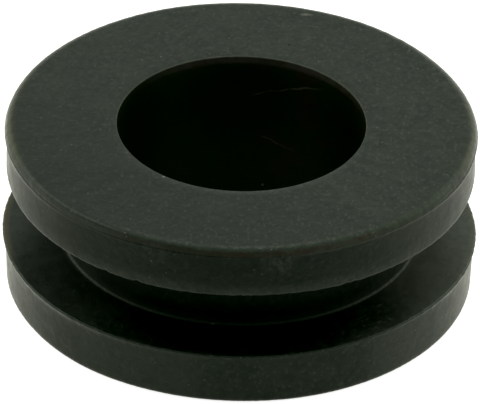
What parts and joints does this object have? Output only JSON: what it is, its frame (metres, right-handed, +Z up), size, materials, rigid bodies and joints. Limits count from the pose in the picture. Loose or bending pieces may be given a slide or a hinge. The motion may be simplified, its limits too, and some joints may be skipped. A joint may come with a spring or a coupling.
{
  "type": "rubber grommet",
  "caption": "Round moulded rubber grommet: two flanges on a short neck, with a panel groove between them, a straight cable bore, a rounded top edge and a fine lip round each flange.",
  "frame": {"origin": "centre of the lower flange's bottom face, on the bore axis", "axes": "+Z up along the bore axis, from the lower flange to the upper flange with the rounded edge; X and Y are any two perpendicular radii"},
  "size_m": [0.0242, 0.024, 0.0092],
  "materials": {
    "rubber": "matte moulded black rubber with a faint grey bloom"
  },
  "bodies": {
    "root": {"grommet": "rubber"}
  },
  "joints": []
}
